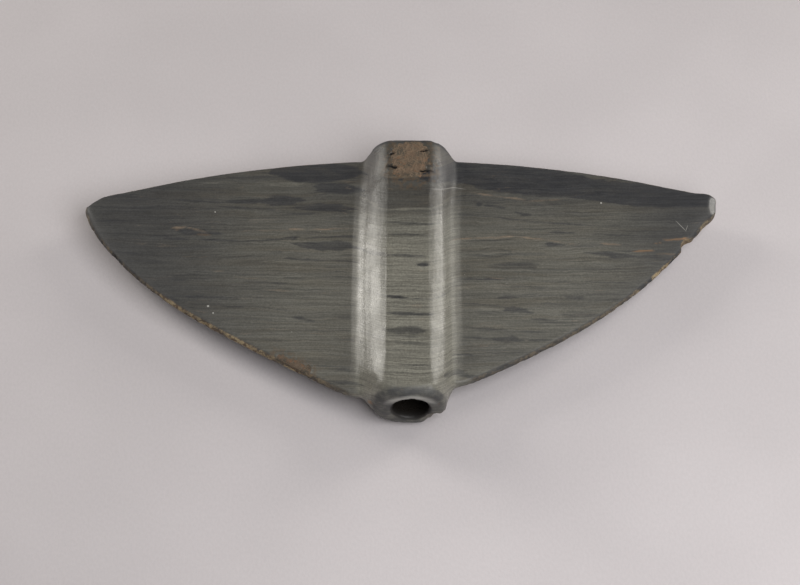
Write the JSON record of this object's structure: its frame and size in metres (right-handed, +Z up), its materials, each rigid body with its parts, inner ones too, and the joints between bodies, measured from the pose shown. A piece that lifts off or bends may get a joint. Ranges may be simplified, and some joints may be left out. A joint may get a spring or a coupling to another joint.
{
  "type": "bannerstone",
  "caption": "Winged bannerstone ground from banded slate, with a flat-topped central barrel, a straight bore along it and two thin wings with rounded edges.",
  "frame": {"origin": "on the ground flat that the stone lies on, below the middle of its bounding box; the bore's axis is 2.7 mm to the right of it and 9.5 mm above it", "axes": "+X across the wings towards the shorter, right wing; +Y along the bore towards the wings' nearly straight upper edge; +Z up, out of the front face"},
  "size_m": [0.18, 0.0851, 0.0195],
  "materials": {
    "banded_slate": "ground and polished, satin",
    "brown_crust": "rough, matt",
    "rust_crust": "rough, matt"
  },
  "bodies": {
    "root": {"banner_stone": "banded_slate", "upper_end_crust": "brown_crust", "left_edge_crust": "rust_crust"}
  },
  "joints": []
}
